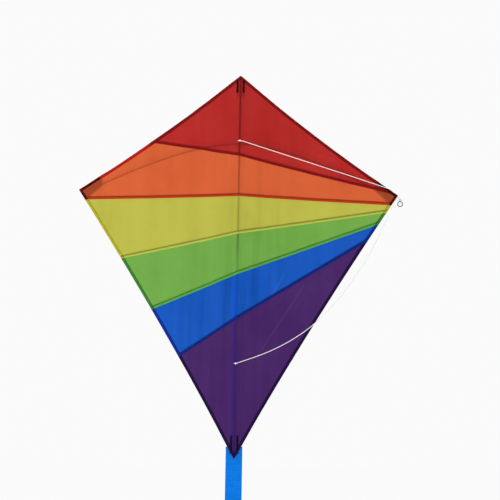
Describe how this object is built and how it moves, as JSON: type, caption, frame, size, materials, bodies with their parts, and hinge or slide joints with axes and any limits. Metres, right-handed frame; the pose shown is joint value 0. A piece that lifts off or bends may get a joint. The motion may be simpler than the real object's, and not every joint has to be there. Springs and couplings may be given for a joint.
{
  "type": "diamond kite",
  "caption": "Diamond kite with a patchwork ripstop sail on a glass-fibre cross, swept wings, a bridle with a tow ring, and a folded ribbon tail.",
  "frame": {"origin": "on the spine rod's axis, where the spreader crosses it", "axes": "+Z along the spine towards the nose, -Y out of the front face (the bridle side), +X towards the right wing tip seen from the front"},
  "size_m": [0.6593, 0.0761, 0.9586],
  "materials": {
    "red_cloth": "ripstop weave",
    "orange_cloth": "ripstop weave",
    "yellow_cloth": "ripstop weave",
    "green_cloth": "ripstop weave",
    "blue_cloth": "ripstop weave",
    "purple_cloth": "ripstop weave",
    "binding_tape": "woven tape",
    "rod": "satin glass-fibre rod",
    "end_cap": "matte",
    "pocket_cloth": "woven",
    "moulded_fitting": "matte moulded",
    "black_thread": "dense stitching",
    "bridle_line": "braided",
    "ring_metal": "satin",
    "ribbon_cloth": "ripstop weave",
    "elastic": "ribbed"
  },
  "bodies": {
    "spine": {"spine_rod": "rod", "spine_top_cap": "end_cap", "spine_bottom_cap": "end_cap", "nose_pocket": "pocket_cloth", "tail_pocket": "pocket_cloth", "cross_fitting": "moulded_fitting", "bridle_tie_upper": "bridle_line", "bridle_tie_lower": "bridle_line", "tail_ribbon_sewn_end": "ribbon_cloth"},
    "left_wing": {"red_panel_left": "red_cloth", "orange_panel_left": "orange_cloth", "yellow_panel_left": "yellow_cloth", "green_panel_left": "green_cloth", "blue_panel_left": "blue_cloth", "purple_panel_left": "purple_cloth", "leading_edge_binding_left": "binding_tape", "spreader_left": "rod", "spreader_cap_left": "end_cap", "tip_pocket_left": "pocket_cloth", "tip_bar_tacks_left": "black_thread", "nose_bar_tack_left": "black_thread", "tail_bar_tack_left": "black_thread"},
    "right_wing": {"red_panel_right": "red_cloth", "orange_panel_right": "orange_cloth", "yellow_panel_right": "yellow_cloth", "green_panel_right": "green_cloth", "blue_panel_right": "blue_cloth", "purple_panel_right": "purple_cloth", "leading_edge_binding_right": "binding_tape", "spreader_right": "rod", "spreader_cap_right": "end_cap", "tip_pocket_right": "pocket_cloth", "tip_bar_tacks_right": "black_thread", "nose_bar_tack_right": "black_thread", "tail_bar_tack_right": "black_thread", "bridle_upper_leg": "bridle_line", "bridle_lower_leg": "bridle_line", "tow_ring_hitch": "bridle_line"},
    "tail": {"tail_ribbon": "ribbon_cloth", "tail_ribbon_bundle": "ribbon_cloth", "bundle_band": "elastic"},
    "tow_ring": {"tow_ring": "ring_metal"}
  },
  "joints": [
    {"name": "right_wing_flex", "type": "hinge", "parent": "spine", "child": "right_wing", "pos_m": [0, -0.0033, 0], "axis": [0, 0, 1], "range_deg": [0, 12], "stiffness_Nm_per_rad": 1.2},
    {"name": "left_wing_flex", "type": "hinge", "parent": "spine", "child": "left_wing", "pos_m": [0, -0.0033, 0], "axis": [0, 0, -1], "range_deg": [0, 12], "stiffness_Nm_per_rad": 1.2},
    {"name": "tail_swing", "type": "hinge", "parent": "spine", "child": "tail", "pos_m": [0, 0.0062, -0.6225], "axis": [1, 0, 0], "range_deg": [-60, 60]},
    {"name": "tow_ring_swing", "type": "hinge", "parent": "right_wing", "child": "tow_ring", "pos_m": [0.32866, 0.06656, -0.0924], "axis": [1, 0, 0], "range_deg": [-80, 80]}
  ]
}
